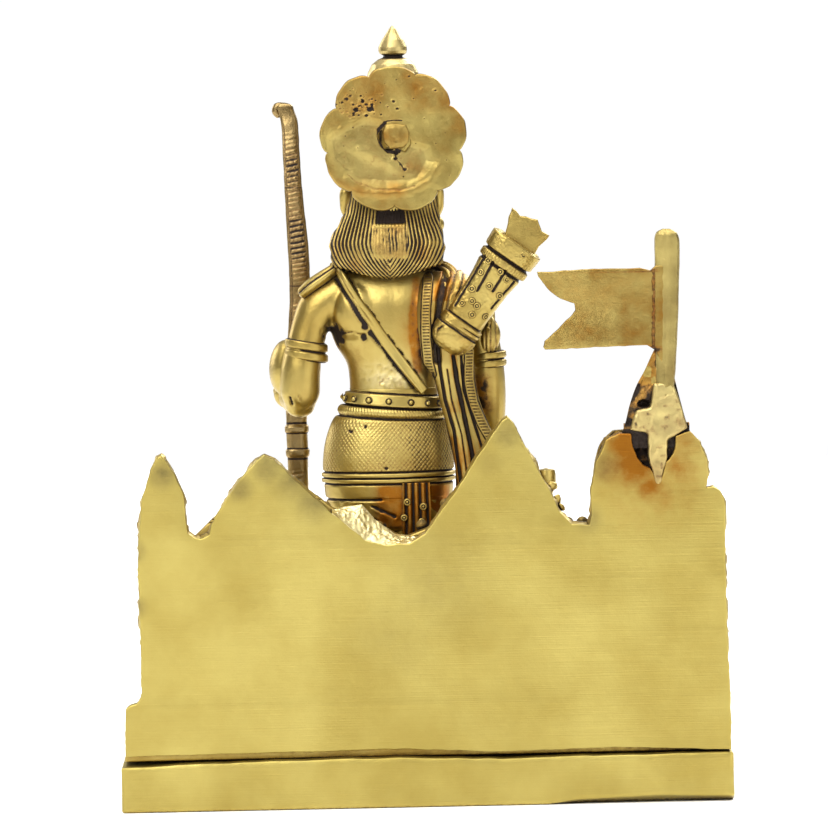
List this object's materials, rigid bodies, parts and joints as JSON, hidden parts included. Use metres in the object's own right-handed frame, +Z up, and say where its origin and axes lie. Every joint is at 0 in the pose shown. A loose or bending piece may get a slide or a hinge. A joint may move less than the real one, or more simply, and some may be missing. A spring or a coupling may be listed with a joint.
{
  "type": "rama figure",
  "caption": "Cast brass shrine figure: a crowned archer with halo, quiver, shawl and tall bow stands on a slab base before a temple wall with a ground back and a swallow-tailed flag",
  "frame": {"origin": "middle of the underside of the base, on the surface it stands on", "axes": "+Z up, the figure looks along -Y, its left hand is at +X, and the flat ground back is at +Y"},
  "size_m": [0.1778, 0.064, 0.2268],
  "materials": {
    "ground_brass": "cast brass, ground flat and brushed, with brown stains at the braze",
    "cast_brass": "polished cast brass with dark patina left in the recesses",
    "bow_brass": "cast brass, ribbed and darkened"
  },
  "bodies": {
    "root": {"base": "ground_brass", "temple_wall": "ground_brass", "rama_figure": "cast_brass", "halo": "cast_brass", "bow": "bow_brass", "flag": "ground_brass"}
  },
  "joints": []
}
